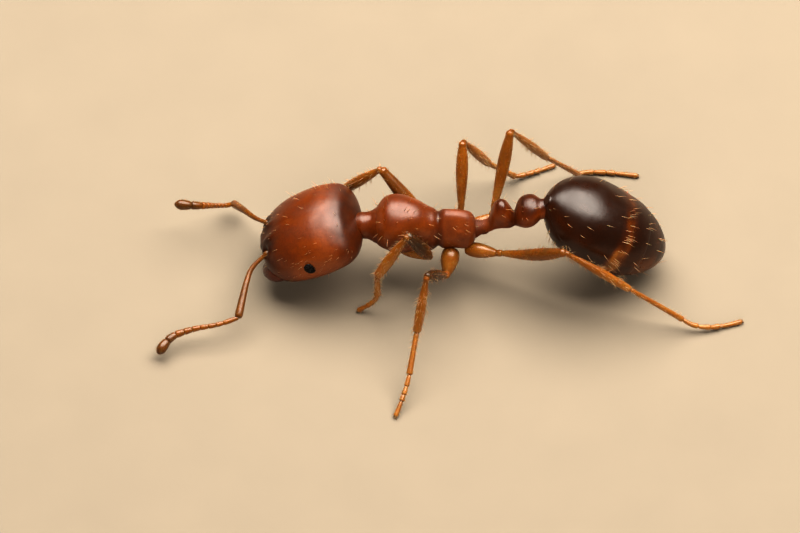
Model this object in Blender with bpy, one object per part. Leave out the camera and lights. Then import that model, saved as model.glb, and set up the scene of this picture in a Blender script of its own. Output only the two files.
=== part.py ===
"""A fire ant, a major worker of the genus Solenopsis, life size, standing on its six feet.

Z is up, the ant faces -Y and its left side is towards +X. The floor is at z = 0, and the
origin lies on it, under the middle of the ant's whole spread. Sizes are in millimetres
until place() turns each finished mesh into metres.

The hard plates of the trunk, head, waist and gaster have their true outline. The legs and
feelers of so small an animal are hair-thin, so their solids are spindles with a stated
least thickness around the true centre lines.
"""

import math

import bmesh
import bpy
from mathutils import Matrix, Vector

MM = 0.001
GAP = 0.02  # between neighbouring plates
SIDES = 22  # corners of a ring round a plate
ROUNDNESS = 2.25  # of a ring: 2 is an ellipse, more is squarer
STANCE_MIDDLE = Vector((0.42, 0.32, 0.0))  # the middle of the spread, from the ant's midline

# Thickness of the solids of legs and feelers.
LIMB_RADIUS = 0.22
FOOT_RADIUS = 0.2
HIP_RADIUS = 0.13
COXA_RADIUS = 0.17
SOLE_DEPTH = 0.02  # how far the round underside of a foot is flattened
SCAPE_GIRTH = ((0.02, 0.06), (0.27, 0.13), (0.5, 0.19), (1.0, 0.2))  # (share of length, radius)
FEELER_RADIUS = 0.2
CLUB_SHORTENING = 0.16  # from the club's tip to the centre of its round end
TOE_LENGTH = 0.17  # from the foot's tip to the centre of its round end
THIGH_SHARE = 0.4  # of the femur, where it reaches its full thickness

# Head: its own frame has the mouth towards -Y and the crown towards +Z.
HEAD_PLACE = Vector((0.05, -1.69, 0.81))
HEAD_PITCH = math.radians(35)
EYE_CENTRE = Vector((0.67, 0.055, 0.08))
EYE_SEMI_AXES = (0.085, 0.095, 0.1)
EYE_SEAT = 0.7
SOCKET = Vector((0.27, -0.55, 0.3))
SOCKET_NORMAL = Vector((0.25, -0.55, 0.8)).normalized()
MANDIBLE_SEAT = Vector((0.45, -0.63, -0.06))
MANDIBLE_NORMAL = Vector((0.45, -0.89, -0.05)).normalized()
# Rings of the head and balls of the mandible in the head's frame.
HEAD_RINGS = (
    (-0.72, 0.08, 0.28, 0.13),
    (-0.64, 0.065, 0.47, 0.265),
    (-0.43, 0.03, 0.645, 0.41),
    (-0.2, 0.03, 0.705, 0.46),
    (0.05, 0.01, 0.73, 0.485),
    (0.3, -0.005, 0.738, 0.465),
    (0.5, -0.03, 0.715, 0.42),
    (0.64, -0.05, 0.635, 0.355),
    (0.72, -0.06, 0.465, 0.26),
    (0.74, -0.065, 0.3, 0.17),
)
MANDIBLE_BEADS = (
    ((0.4, -0.6, -0.01), 0.16),
    ((0.34, -0.72, -0.04), 0.13),
    ((0.1, -0.84, -0.1), 0.06),
)

# Feelers: the elbow, the root of the club and its tip, on each side.
FEELERS = {
    "left": ((1.24, -2.76, 0.34), (1.475, -3.68, 0.24), (1.77, -3.94, 0.21)),
    "right": ((-1.03, -2.86, 0.2), (-0.61, -3.32, 0.68), (-0.55, -3.72, 0.79)),
}

# Trunk, waist and gaster, as (y, centre height, half width, half height) of a ring.
TRUNK_RINGS = (
    (-0.76, 0.97, 0.16, 0.16),
    (-0.7, 0.99, 0.28, 0.28),
    (-0.58, 1.04, 0.39, 0.37),
    (-0.38, 1.03, 0.43, 0.42),
    (-0.12, 0.98, 0.345, 0.42),
    (0.1, 0.905, 0.28, 0.355),
    (0.32, 0.92, 0.257, 0.316),
    (0.52, 0.92, 0.256, 0.298),
    (0.67, 0.91, 0.226, 0.256),
    (0.75, 0.89, 0.14, 0.15),
)
NECK_RINGS = (
    (-1.0, 0.99, 0.15, 0.15),
    (-0.92, 0.985, 0.195, 0.195),
    (-0.85, 0.98, 0.203, 0.203),
    (-0.785, 0.975, 0.2, 0.2),
)
GROOVE_Y = 0.2  # the groove between mesonotum and propodeum
GROOVE_WIDTH = 0.055
GROOVE_DEPTH = 0.1  # as a share of the ring
# The propodeum's top is narrower and higher than its rings, from the groove to its rear end.
RIDGE_STRETCH = ((0.2, 0.32), (0.68, 0.77))  # where it rises and where it ends
RIDGE_HEIGHTS = (0.92, 1.22)
RIDGE_NARROWING = 0.4
RIDGE_RISE = 0.2
PETIOLE_RINGS = (
    (0.785, 0.91, 0.12, 0.12),
    (0.9, 0.965, 0.095, 0.095),
    (0.955, 1.015, 0.107, 0.125),
    (1.03, 1.205, 0.165, 0.245),
    (1.14, 1.26, 0.18, 0.262),
    (1.24, 1.21, 0.162, 0.21),
    (1.285, 1.16, 0.135, 0.15),
    (1.305, 1.145, 0.11, 0.115),
)
POSTPETIOLE_RINGS = (
    (1.325, 1.165, 0.105, 0.105),
    (1.37, 1.25, 0.185, 0.165),
    (1.45, 1.305, 0.24, 0.21),
    (1.54, 1.33, 0.26, 0.222),
    (1.63, 1.345, 0.225, 0.2),
    (1.69, 1.36, 0.175, 0.16),
)
GASTER_PLACE = Vector((0.0, 2.528, 1.027))  # the middle of its widest ring
GASTER_PITCH = math.radians(-37.2)
GASTER_LENGTH = (0.918, 1.233)  # before and behind its widest ring
GASTER_WIDEST = (0.706, 0.566)
GASTER_CURVES = ((2.378, 1.457), (2.422, 1.672))  # of its outline, before and behind
GASTER_RISE = 0.032  # how far its rear end curves up
GASTER_RINGS = 13
GASTER_FRONT_GIRTH = 0.12  # of its blunt front end, as a share of the widest ring
GASTER_TIP_GIRTH = 0.05
GASTER_CUTS = (0.33, 0.66, 0.96)

# Sides of the breast that the coxae are set on: a plane facing down and outwards.
SEAT_NORMAL = Vector((0.5, 0.0, -0.866))
SEAT_OFFSET = -0.485

# Each pair of legs: where its coxae are rooted, and the lengths of femur, tibia,
# basitarsus and the rest of the tarsus.
PAIRS = {
    "fore": ((0.18, -0.36, 0.64), (1.06, 0.86, 0.43, 0.47)),
    "mid": ((0.18, 0.4, 0.64), (1.15, 0.89, 0.64, 0.66)),
    "hind": ((0.17, 0.62, 0.64), (1.35, 1.19, 1.0, 0.9)),
}
FLANK_HEIGHT = 1.02  # of the trunk's middle beside the fore femora
FLANK_GIRTH = 0.42
# Each leg's stance: the hip, then the swing back from straight out and the lift above
# level of femur, tibia and basitarsus, and the swing of the tarsus, in degrees.
STANCE = {
    "fore_left": ((0.3, 0.09, 0.59), (-45, 63), (-66, -55), (-1, -88), -89),
    "fore_right": ((0.36, 0.02, 0.61), (-56, 41), (-78, -48), (-82, -48), -82),
    "mid_left": ((0.54, 0.33, 0.49), (-23, 48), (-18, -57), (-11, -27), -20),
    "mid_right": ((0.52, 0.54, 0.5), (2, 48), (63, -60), (71, -49), 66),
    "hind_left": ((0.33, 1.08, 0.73), (60, 33), (80, -34), (83, -37), 96),
    "hind_right": ((0.33, 1.0, 0.78), (20, 54), (61, -58), (56, -54), 91),
}
SOLE_HEIGHT = 0.03  # of the foot's centre line at its tip
LEFT_AND_RIGHT = (("right", -1), ("left", 1))

COLOURS = {
    "cuticle": ((0.3, 0.07, 0.016), 0.3),
    "gaster": ((0.022, 0.008, 0.005), 0.25),
    "limb": ((0.36, 0.12, 0.025), 0.35),
    "mandible": ((0.12, 0.02, 0.01), 0.3),
    "eye": ((0.01, 0.008, 0.008), 0.3),
}


def clear_scene():
    for obj in list(bpy.data.objects):
        bpy.data.objects.remove(obj, do_unlink=True)


def material(name):
    """The Principled material of a finish, made once."""
    if name in bpy.data.materials:
        return bpy.data.materials[name]
    colour, roughness = COLOURS[name]
    made = bpy.data.materials.new(name)
    made.use_nodes = True
    shader = made.node_tree.nodes["Principled BSDF"]
    shader.inputs["Base Color"].default_value = (*colour, 1.0)
    shader.inputs["Roughness"].default_value = roughness
    shader.inputs["Metallic"].default_value = 0.0
    made.diffuse_color = (*colour, 1.0)
    return made


def place(bm, name, origin, finish, ant):
    """Turns a mesh in millimetres into an object in metres whose origin is at a given point."""
    bmesh.ops.remove_doubles(bm, verts=bm.verts, dist=0.0005)
    bmesh.ops.recalc_face_normals(bm, faces=bm.faces)
    bmesh.ops.translate(bm, verts=bm.verts, vec=-Vector(origin))
    bmesh.ops.scale(bm, verts=bm.verts, vec=(MM, MM, MM))
    mesh = bpy.data.meshes.new(name)
    bm.to_mesh(mesh)
    bm.free()
    mesh.shade_smooth()
    mesh.set_sharp_from_angle(angle=math.radians(35))
    mesh.materials.append(material(finish))
    obj = bpy.data.objects.new(name, mesh)
    bpy.context.scene.collection.objects.link(obj)
    obj.parent = ant
    obj.location = Vector(origin) * MM
    return obj


def between(keys, steps):
    """Rings on a smooth curve through the key rings, with so many steps from key to key."""
    ends = [keys[0], *keys, keys[-1]]
    rings = []
    for before, start, stop, after in zip(ends, ends[1:], ends[2:], ends[3:]):
        for step in range(steps):
            t = step / steps
            weights = (
                (-t + 2 * t**2 - t**3) / 2,
                (2 - 5 * t**2 + 3 * t**3) / 2,
                (t + 4 * t**2 - 3 * t**3) / 2,
                (-(t**2) + t**3) / 2,
            )
            key = zip(before, start, stop, after)
            rings.append([sum(w * v for w, v in zip(weights, values)) for values in key])
    rings.append(list(keys[-1]))
    return rings


def loft(rings, frame=Matrix.Identity(4)):
    """A closed plate through upright rounded rings, each (y, centre height, half width, half height)."""
    bm = bmesh.new()
    upright = Matrix.Rotation(math.pi / 2, 4, "X")
    loops = []
    for y, height, half_width, half_height in rings:
        ring = bmesh.ops.create_circle(bm, segments=SIDES, radius=1.0, matrix=upright)["verts"]
        for vert in ring:
            corner = abs(vert.co.x) ** ROUNDNESS + abs(vert.co.z) ** ROUNDNESS
            reach = corner ** (-1 / ROUNDNESS)
            vert.co = (vert.co.x * reach * half_width, y, height + vert.co.z * reach * half_height)
        loops.append(list({edge for vert in ring for edge in vert.link_edges}))
    for loop, following in zip(loops, loops[1:]):
        bmesh.ops.bridge_loops(bm, edges=loop + following)
    for loop in (loops[0], loops[-1]):
        bmesh.ops.contextual_create(bm, geom=loop)
    bmesh.ops.transform(bm, matrix=frame, verts=bm.verts)
    bmesh.ops.recalc_face_normals(bm, faces=bm.faces)
    return bm


def pod(beads):
    """The tight skin round a row of balls, each (centre, radius)."""
    bm = bmesh.new()
    for centre, radius in beads:
        bmesh.ops.create_icosphere(
            bm, subdivisions=2, radius=radius, matrix=Matrix.Translation(centre)
        )
    hull = bmesh.ops.convex_hull(bm, input=bm.verts, use_existing_faces=False)
    spare = set(hull["geom_interior"] + hull["geom_unused"])
    inside = [item for item in spare if isinstance(item, bmesh.types.BMVert)]
    bmesh.ops.delete(bm, geom=inside, context="VERTS")
    loose = [face for face in bm.faces if face not in hull["geom"]]
    bmesh.ops.delete(bm, geom=loose, context="FACES_ONLY")
    bmesh.ops.recalc_face_normals(bm, faces=bm.faces)
    return bm


def cut(bm, point, normal):
    """Takes off what lies beyond a plane, on the side that its normal points to, and closes the cut."""
    bmesh.ops.bisect_plane(
        bm,
        geom=bm.verts[:] + bm.edges[:] + bm.faces[:],
        dist=1e-5,
        plane_co=point,
        plane_no=normal,
        clear_outer=True,
    )
    rim = [edge for edge in bm.edges if edge.is_boundary]
    if rim:
        bmesh.ops.holes_fill(bm, edges=rim, sides=0)
    return bm


def mirrored(vector, side):
    return Vector((vector[0] * side, vector[1], vector[2]))


def seat_of_coxae(side):
    """A point and the outward normal of the plane that the coxae of one side sit on."""
    normal = mirrored(SEAT_NORMAL, side)
    return normal * SEAT_OFFSET, normal


def smooth(low, high, value):
    """0 below low and 1 above high, with an easy slope between."""
    t = min(max((value - low) / (high - low), 0.0), 1.0)
    return t * t * (3 - 2 * t)


def ridged(bm):
    """Narrows and raises the top of the propodeum."""
    (start, risen), (falling, end) = RIDGE_STRETCH
    foot, crest = RIDGE_HEIGHTS
    for vert in bm.verts:
        share = smooth(start, risen, vert.co.y) * (1 - smooth(falling, end, vert.co.y))
        vert.co.x *= 1 - RIDGE_NARROWING * share * smooth(foot, crest, vert.co.z)
        vert.co.z += max(vert.co.z - foot, 0.0) * RIDGE_RISE * share
    return bm


def make_trunk(ant):
    """Promesonotum and propodeum: one body, pinched at the groove and parted there."""
    rings = between(TRUNK_RINGS, 2)
    for ring in rings:
        pinch = GROOVE_DEPTH * math.exp(-(((ring[0] - GROOVE_Y) / GROOVE_WIDTH) ** 2))
        ring[2] *= 1 - pinch
        ring[3] *= 1 - pinch
    back = Vector((0, 1, 0))
    for name, end in (("thorax_front", -1), ("thorax_rear", 1)):
        bm = ridged(loft(rings))
        cut(bm, Vector((0, GROOVE_Y + end * GAP / 2, 0)), -end * back)
        for side in (-1, 1):
            cut(bm, *seat_of_coxae(side))
        place(bm, name, (0, GROOVE_Y, 0.9), "cuticle", ant)
    place(loft(NECK_RINGS), "neck", (0, NECK_RINGS[0][0], NECK_RINGS[0][1]), "cuticle", ant)


def make_waist(ant):
    """Petiole with its upright node, and the rounder postpetiole behind it."""
    for name, rings in (("petiole", PETIOLE_RINGS), ("postpetiole", POSTPETIOLE_RINGS)):
        front = (0, rings[0][0], rings[0][1])
        place(loft(between(rings, 2)), name, front, "cuticle", ant)


def gaster_rings():
    """An egg: a short blunt front and a longer, more pointed rear that curves up a little."""
    stations = []
    for step in range(GASTER_RINGS):
        share = -math.cos(math.pi * step / (GASTER_RINGS - 1))
        behind = share > 0
        fall, fill = GASTER_CURVES[behind]
        girth = (1 - min(abs(share), 1.0) ** fall) ** (1 / fill)
        least = GASTER_TIP_GIRTH if behind else GASTER_FRONT_GIRTH
        stations.append((share * GASTER_LENGTH[behind], max(girth, least)))
    half_width, half_height = GASTER_WIDEST
    rings = []
    for y, girth in stations:
        rings.append((y, GASTER_RISE * max(y, 0.0) ** 2, half_width * girth, half_height * girth))
    return rings


def make_gaster(ant):
    """Four plates of one egg, parted by thin cuts across its length."""
    frame = Matrix.Translation(GASTER_PLACE) @ Matrix.Rotation(GASTER_PITCH, 4, "X")
    back = frame.to_3x3() @ Vector((0, 1, 0))
    cuts = [frame @ Vector((0, y, 0)) for y in GASTER_CUTS]
    for index in range(len(cuts) + 1):
        bm = loft(gaster_rings(), frame)
        if index > 0:
            cut(bm, cuts[index - 1] + back * GAP / 2, -back)
        if index < len(cuts):
            cut(bm, cuts[index] - back * GAP / 2, back)
        place(bm, f"gaster_{index + 1}", GASTER_PLACE, "gaster", ant)


def head_frame():
    return Matrix.Translation(HEAD_PLACE) @ Matrix.Rotation(HEAD_PITCH, 4, "X")


def make_head(ant):
    """Head capsule with flats for eyes, feelers and mandibles, and the pieces set on them."""
    frame = head_frame()
    turn = frame.to_3x3()
    seats = []
    for side in (-1, 1):
        seats.append((Vector((side * EYE_SEAT, 0, 0)), Vector((side, 0, 0))))
        seats.append((mirrored(SOCKET, side), mirrored(SOCKET_NORMAL, side)))
        seats.append((mirrored(MANDIBLE_SEAT, side), mirrored(MANDIBLE_NORMAL, side)))
    bm = loft(between(HEAD_RINGS, 2))
    for point, normal in seats:
        cut(bm, point, normal)
    bmesh.ops.transform(bm, matrix=frame, verts=bm.verts)
    place(bm, "head", HEAD_PLACE, "cuticle", ant)
    for name, side in LEFT_AND_RIGHT:
        make_eye(name, side, frame, ant)
        beads = [(frame @ mirrored(centre, side), radius) for centre, radius in MANDIBLE_BEADS]
        bm = pod(beads)
        normal = turn @ mirrored(MANDIBLE_NORMAL, side)
        cut(bm, frame @ mirrored(MANDIBLE_SEAT, side) + normal * GAP, -normal)
        place(bm, f"mandible_{name}", beads[0][0], "mandible", ant)
        make_feeler(name, side, frame, ant)


def make_eye(name, side, frame, ant):
    """A low oval dome on its flat."""
    bm = bmesh.new()
    shape = Matrix.Translation(mirrored(EYE_CENTRE, side)) @ Matrix.Diagonal((*EYE_SEMI_AXES, 1))
    bmesh.ops.create_icosphere(bm, subdivisions=3, radius=1.0, matrix=shape)
    cut(bm, Vector((side * (EYE_SEAT + GAP / 2), 0, 0)), Vector((-side, 0, 0)))
    bmesh.ops.transform(bm, matrix=frame, verts=bm.verts)
    place(bm, f"eye_{name}", frame @ mirrored(EYE_CENTRE, side), "eye", ant)


def joint_plane(before, joint, after):
    """The plane that halves a joint's bend: a point and the normal that points onwards."""
    onwards = (joint - before).normalized() + (after - joint).normalized()
    return joint, onwards.normalized()


def parted(bm, start, end):
    """Trims a limb's segment at the planes of the joints at its two ends, each None or a plane."""
    if start:
        cut(bm, start[0] + start[1] * GAP / 2, -start[1])
    if end:
        cut(bm, end[0] - end[1] * GAP / 2, end[1])
    return bm


def make_feeler(name, side, frame, ant):
    """Scape, funiculus and club of one feeler."""
    socket = frame @ mirrored(SOCKET, side)
    elbow, club_root, tip = (Vector(point) for point in FEELERS[name])
    outward = frame.to_3x3() @ mirrored(SOCKET_NORMAL, side)
    scape = [(socket.lerp(elbow, share), radius) for share, radius in SCAPE_GIRTH]
    joints = [joint_plane(socket, elbow, club_root), joint_plane(elbow, club_root, tip)]
    bm = parted(pod(scape), None, joints[0])
    cut(bm, socket + outward * GAP, -outward)
    place(bm, f"antenna_scape_{name}", socket, "limb", ant)

    funiculus = [(elbow, FEELER_RADIUS), (club_root, FEELER_RADIUS)]
    place(parted(pod(funiculus), *joints), f"antenna_funiculus_{name}", elbow, "limb", ant)

    tip_bead = tip - (tip - club_root).normalized() * CLUB_SHORTENING
    club = [(club_root, FEELER_RADIUS), (tip_bead, LIMB_RADIUS)]
    place(parted(pod(club), joints[1], None), f"antenna_club_{name}", club_root, "limb", ant)


def heading(swing, lift, side):
    """A unit vector from its swing back from straight out and its lift, in degrees."""
    swing, lift = math.radians(swing), math.radians(lift)
    level = math.cos(lift)
    return Vector((side * level * math.cos(swing), level * math.sin(swing), math.sin(lift)))


def joints_of(leg, pair, side):
    """Hip, knee, ankle, end of the basitarsus and tip of the foot."""
    hip, *segments, last_swing = STANCE[leg]
    lengths = PAIRS[pair][1]
    points = [mirrored(hip, side)]
    for (swing, lift), length in zip(segments, lengths):
        points.append(points[-1] + heading(swing, lift, side) * length)
    drop = math.degrees(math.asin((SOLE_HEIGHT - points[-1].z) / lengths[-1]))
    points.append(points[-1] + heading(last_swing, drop, side) * lengths[-1])
    return points


def standing(point, radius):
    """The point, raised where a ball round it would sink into the floor by more than a sole."""
    return Vector((point.x, point.y, max(point.z, radius - SOLE_DEPTH)))


def make_leg(pair, name, side, ant):
    """Coxa, femur, tibia, basitarsus and tarsus of one leg."""
    leg = f"{pair}_{name}"
    hip, knee, ankle, heel, tip = joints_of(leg, pair, side)
    root = mirrored(PAIRS[pair][0], side)
    seat, seat_normal = seat_of_coxae(side)
    ankle, heel = standing(ankle, LIMB_RADIUS), standing(heel, FOOT_RADIUS)
    tip = standing(tip, FOOT_RADIUS)
    tip -= (tip - heel).normalized() * TOE_LENGTH
    planes = [
        joint_plane(root, hip, knee),
        joint_plane(hip, knee, ankle),
        joint_plane(knee, ankle, heel),
        joint_plane(ankle, heel, tip),
    ]
    bm = parted(pod([(root, COXA_RADIUS), (hip, HIP_RADIUS)]), None, planes[0])
    cut(bm, seat + seat_normal * GAP, -seat_normal)
    cut(bm, Vector((side * GAP / 2, 0, 0)), Vector((-side, 0, 0)))
    place(bm, f"{leg}_coxa", root, "limb", ant)

    thigh = hip.lerp(knee, THIGH_SHARE)
    femur = [(hip, HIP_RADIUS), (thigh, LIMB_RADIUS), (knee, LIMB_RADIUS)]
    bm = parted(pod(femur), planes[0], planes[1])
    if pair == "fore":
        outward = Vector((knee.z - hip.z, 0, hip.x - knee.x)).normalized() * side
        flank = Vector((0, 0, FLANK_HEIGHT)) + outward * (FLANK_GIRTH + GAP)
        cut(bm, flank, -outward)
    place(bm, f"{leg}_femur", hip, "limb", ant)

    segments = (
        ("tibia", knee, LIMB_RADIUS, ankle, LIMB_RADIUS, planes[1], planes[2]),
        ("basitarsus", ankle, LIMB_RADIUS, heel, FOOT_RADIUS, planes[2], planes[3]),
        ("tarsus", heel, FOOT_RADIUS, tip, FOOT_RADIUS, planes[3], None),
    )
    for segment, start, start_radius, stop, stop_radius, before, after in segments:
        bm = parted(pod([(start, start_radius), (stop, stop_radius)]), before, after)
        cut(bm, Vector((0, 0, 0)), Vector((0, 0, -1)))
        place(bm, f"{leg}_{segment}", start, "limb", ant)


def build():
    clear_scene()
    ant = bpy.data.objects.new("ant", None)
    ant.empty_display_size = MM
    ant.location = -STANCE_MIDDLE * MM
    bpy.context.scene.collection.objects.link(ant)
    make_head(ant)
    make_trunk(ant)
    make_waist(ant)
    make_gaster(ant)
    for pair in PAIRS:
        for name, side in LEFT_AND_RIGHT:
            make_leg(pair, name, side, ant)


build()
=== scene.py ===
"""The visible fire ant, a major worker of the genus Solenopsis, life size, on a studio floor.

Sections follow the animal from head to feet, then its hairs. Shapes are made in millimetres
from the ant's midline, facing -Y with its left side at +X, and turned into metres at the end.
"""

import math
import random

import bmesh
import bpy
from mathutils import Matrix, Vector, noise


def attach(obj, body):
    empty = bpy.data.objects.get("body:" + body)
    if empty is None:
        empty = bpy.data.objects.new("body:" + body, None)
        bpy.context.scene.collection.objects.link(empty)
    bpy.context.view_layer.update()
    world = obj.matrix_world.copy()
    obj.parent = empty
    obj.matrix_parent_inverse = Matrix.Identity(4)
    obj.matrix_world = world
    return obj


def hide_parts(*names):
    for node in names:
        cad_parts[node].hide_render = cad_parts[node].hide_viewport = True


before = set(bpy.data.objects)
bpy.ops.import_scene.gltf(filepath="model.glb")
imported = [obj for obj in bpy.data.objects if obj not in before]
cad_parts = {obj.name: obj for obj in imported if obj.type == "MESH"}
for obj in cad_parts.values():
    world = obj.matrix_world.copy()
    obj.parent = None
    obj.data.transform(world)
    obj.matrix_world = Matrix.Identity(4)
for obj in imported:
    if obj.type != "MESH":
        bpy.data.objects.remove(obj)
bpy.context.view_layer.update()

# --- Studio -------------------------------------------------------------------------
# A plain pale floor under an oval softbox that hangs over the ant and a little behind it, a
# weak round fill from the front, and a long lens that looks down on the ant's left side.

MM = 0.001
SPREAD_MIDDLE = Vector((0.42, 0.32, 0.0))  # the middle of the spread, from the ant's midline
FLOOR_HALF = 0.6
FLOOR_COLOUR = (0.212, 0.179, 0.136)
FLOOR_MOTTLING = 0.04
FLOOR_ROUGHNESS = 0.9
AIM = Vector((0.01, -0.366, 0.0))  # what the lens points at, from the ant's midline
CAMERA_ELEVATION = math.radians(52)
CAMERA_DISTANCE = 0.12
CAMERA_CLIPS = (0.005, 10.0)
LENS = 362.0
SENSOR = 36.0
PRINT_GAMMA = 0.7  # under 1 deepens the darker tones
SKY_COLOUR = (0.9, 0.86, 0.8, 1.0)
SKY_STRENGTH = 0.03
# Each light: its direction, distance, (length, breadth), power and colour.
LIGHTS = {
    "key_softbox": (Vector((-0.35, 0.13, 0.93)), 0.06, (0.112, 0.062), 0.2, (1.0, 0.96, 0.9)),
    "front_fill": (Vector((0.85, -0.1, 0.5)), 0.12, (0.113, 0.113), 0.16, (1.0, 0.93, 0.86)),
}


def wired(tree, kind, settings, *inputs):
    """A shader node with its settings, and each input given as (socket, value or output)."""
    node = tree.nodes.new(kind)
    for name, value in settings.items():
        setattr(node, name, value)
    for socket, value in inputs:
        if isinstance(value, bpy.types.NodeSocket):
            tree.links.new(value, node.inputs[socket])
        else:
            node.inputs[socket].default_value = value
    return node


def mottling(tree, scale, detail):
    """Soft noise from 0 to 1 all over a piece."""
    place = wired(tree, "ShaderNodeTexCoord", {}).outputs["Object"]
    waves = wired(tree, "ShaderNodeTexNoise", {}, ("Vector", place), ("Scale", scale), ("Detail", detail))
    return waves.outputs["Fac"]


def mixed(tree, share, first, second, how="MIX"):
    """Two colours mixed by a share."""
    settings = {"data_type": "RGBA", "blend_type": how}
    return wired(tree, "ShaderNodeMix", settings, (0, share), (6, first), (7, second)).outputs[2]


def finish_named(name):
    """A new material with a Principled shader, and that shader and its tree."""
    made = bpy.data.materials.new(name)
    made.use_nodes = True
    return made, made.node_tree.nodes["Principled BSDF"], made.node_tree


def meshed(bm, name):
    """A mesh made of a bmesh, which is freed."""
    mesh = bpy.data.meshes.new(name)
    bm.to_mesh(mesh)
    bm.free()
    return mesh


def placed(name, data):
    """A new object in the scene with some data."""
    thing = bpy.data.objects.new(name, data)
    bpy.context.scene.collection.objects.link(thing)
    return thing


def lay_floor():
    bm = bmesh.new()
    bmesh.ops.create_grid(bm, x_segments=8, y_segments=8, size=FLOOR_HALF)
    floor = placed("studio_floor", meshed(bm, "studio_floor"))
    paper, shader, tree = finish_named("studio_paper")
    dark = (*(c * (1 - FLOOR_MOTTLING) for c in FLOOR_COLOUR), 1.0)
    pale = (*(c * (1 + FLOOR_MOTTLING) for c in FLOOR_COLOUR), 1.0)
    tree.links.new(mixed(tree, mottling(tree, 900.0, 4.0), dark, pale), shader.inputs["Base Color"])
    shader.inputs["Roughness"].default_value = FLOOR_ROUGHNESS
    floor.data.materials.append(paper)


def soft_light(name, direction, distance, size, power, colour):
    """An oval softbox that faces the ant from a given direction."""
    lamp = bpy.data.lights.new(name, "AREA")
    lamp.shape = "ELLIPSE"
    lamp.size, lamp.size_y = size
    lamp.energy = power
    lamp.color = colour
    light = placed(name, lamp)
    light.location = direction.normalized() * distance
    light.rotation_mode = "QUATERNION"
    light.rotation_quaternion = direction.to_track_quat("Z", "Y")
    return light


def set_camera():
    lens = bpy.data.cameras.new("long_lens")
    lens.lens = LENS
    lens.sensor_width = SENSOR
    lens.clip_start, lens.clip_end = CAMERA_CLIPS
    lens.dof.use_dof = False
    camera = placed("long_lens", lens)
    away = Vector((math.cos(CAMERA_ELEVATION), 0, math.sin(CAMERA_ELEVATION)))
    camera.location = (AIM - SPREAD_MIDDLE) * MM + away * CAMERA_DISTANCE
    camera.rotation_mode = "QUATERNION"
    camera.rotation_quaternion = away.to_track_quat("Z", "Y")
    bpy.context.scene.camera = camera


def set_sky():
    sky = bpy.data.worlds.new("studio_sky")
    sky.use_nodes = True
    backdrop = sky.node_tree.nodes["Background"]
    backdrop.inputs["Color"].default_value = SKY_COLOUR
    backdrop.inputs["Strength"].default_value = SKY_STRENGTH
    bpy.context.scene.world = sky


bpy.context.scene.view_settings.view_transform = "Standard"
bpy.context.scene.view_settings.gamma = PRINT_GAMMA
lay_floor()
set_sky()
set_camera()
lights = {name: soft_light(name, *light) for name, light in LIGHTS.items()}
lights["front_fill"].visible_glossy = False  # it brightens, and puts no second highlight on

# --- Head capsule -------------------------------------------------------------------
# One hard shell, nearly as broad as long, with cheeks, crown and a notched back edge. The
# clypeus and two low lobes over the feelers' sockets stand out at its front. Its cuticle
# is glossy orange-brown, darker towards the mouth, with painted shade on the crown and the
# upper sides, partly on the back edge, and a painted glow on the cheeks.

HEAD_PLACE = Vector((0.05, -1.69, 0.81))
HEAD_PITCH = math.radians(35)
HEAD_SIDES = 144
ELLIPSE = 2.0
BODY_ROUNDNESS = 2.15  # more than an ellipse's is squarer
# Rings throughout are (y, centre height, half width, half height).
HEAD_RINGS = (
    (-0.74, 0.09, 0.08, 0.04), (-0.72, 0.09, 0.28, 0.13), (-0.665, 0.07, 0.44, 0.24),
    (-0.575, 0.045, 0.56, 0.33), (-0.43, 0.03, 0.645, 0.41), (-0.2, 0.03, 0.705, 0.46),
    (0.05, 0.01, 0.73, 0.485), (0.3, -0.005, 0.738, 0.465), (0.5, -0.03, 0.715, 0.42),
    (0.61, -0.045, 0.665, 0.375), (0.68, -0.055, 0.585, 0.325), (0.72, -0.06, 0.465, 0.26),
    (0.738, -0.065, 0.31, 0.18), (0.745, -0.065, 0.1, 0.06),
)
SOCKET = Vector((0.27, -0.55, 0.3))
EYE_CENTRE = Vector((0.723, 0.055, 0.08))
# Swellings and hollows of the left half: (centre, reach along x, y, z, height).
HEAD_RELIEF = (
    ((0.25, -0.565, 0.3), (0.06, 0.06, 0.2), -0.045),
    ((0.13, -0.5, 0.36), (0.05, 0.12, 0.2), 0.03),
    ((0.0, -0.64, 0.24), (0.13, 0.1, 0.16), 0.035),
    ((0.09, -0.68, 0.2), (0.022, 0.08, 0.2), 0.014),
    ((0.0, -0.1, 0.5), (0.03, 0.34, 0.3), -0.006),
    ((0.0, 0.8, 0.15), (0.16, 0.1, 0.25), -0.015),
)
# Darker and paler parts of the left half: round the socket its own colour, along the upper side painted
# shade, on the cheek a painted glow. Each is (centre, reach along x, y, z, amount).
HEAD_TONES = (
    ((0.24, -0.5, 0.3), (0.13, 0.14, 0.3), 0.3),
    # a band along the upper side, darker: painted shade
    ((0.56, 0.0, 0.3), (0.14, 0.6, 0.12), 0.18),
    # the cheek, paler: painted light glowing through the head
    ((0.65, 0.1, 0.0), (0.25, 0.5, 0.4), -0.32),
)
HEAD_SHADE = 0.19  # of the rest
# Where it darkens steadily: (start, full, amount) along an axis.
MOUTH = (-0.05, -0.68, 0.65)
# the back edge darker, partly its own colour and partly painted shade of the rim
NAPE_TONE_AND_SHADE = (0.42, 0.74, 0.6)
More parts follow.
